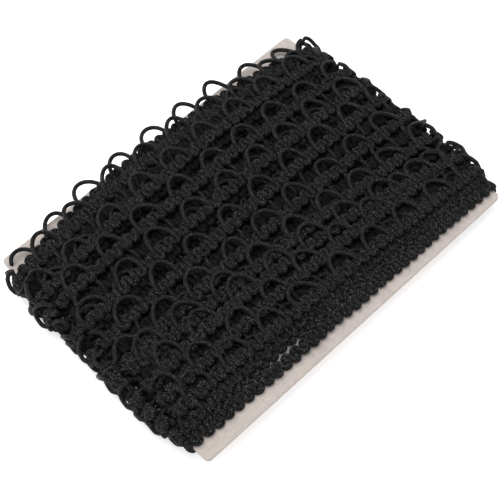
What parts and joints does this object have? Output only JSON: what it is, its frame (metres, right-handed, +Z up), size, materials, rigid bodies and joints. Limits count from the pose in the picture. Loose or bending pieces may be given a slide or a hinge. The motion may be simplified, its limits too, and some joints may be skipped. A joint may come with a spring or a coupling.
{
  "type": "looped braid lace trim wound on a card",
  "caption": "Black looped gimp braid trim wound lengthwise in close layered turns round a flat cardboard holder, with elastic loops standing out of one edge of each turn.",
  "frame": {"origin": "bottom centre of the whole object's box, on the surface that the winding rests on", "axes": "+X along the card and the turns of trim, +Y across the card towards the side that the loops point to, +Z up"},
  "size_m": [0.194, 0.1412, 0.0192],
  "materials": {
    "cardboard": "matte",
    "braid": "matte"
  },
  "bodies": {
    "root": {"card": "cardboard", "winding": "braid"}
  },
  "joints": []
}
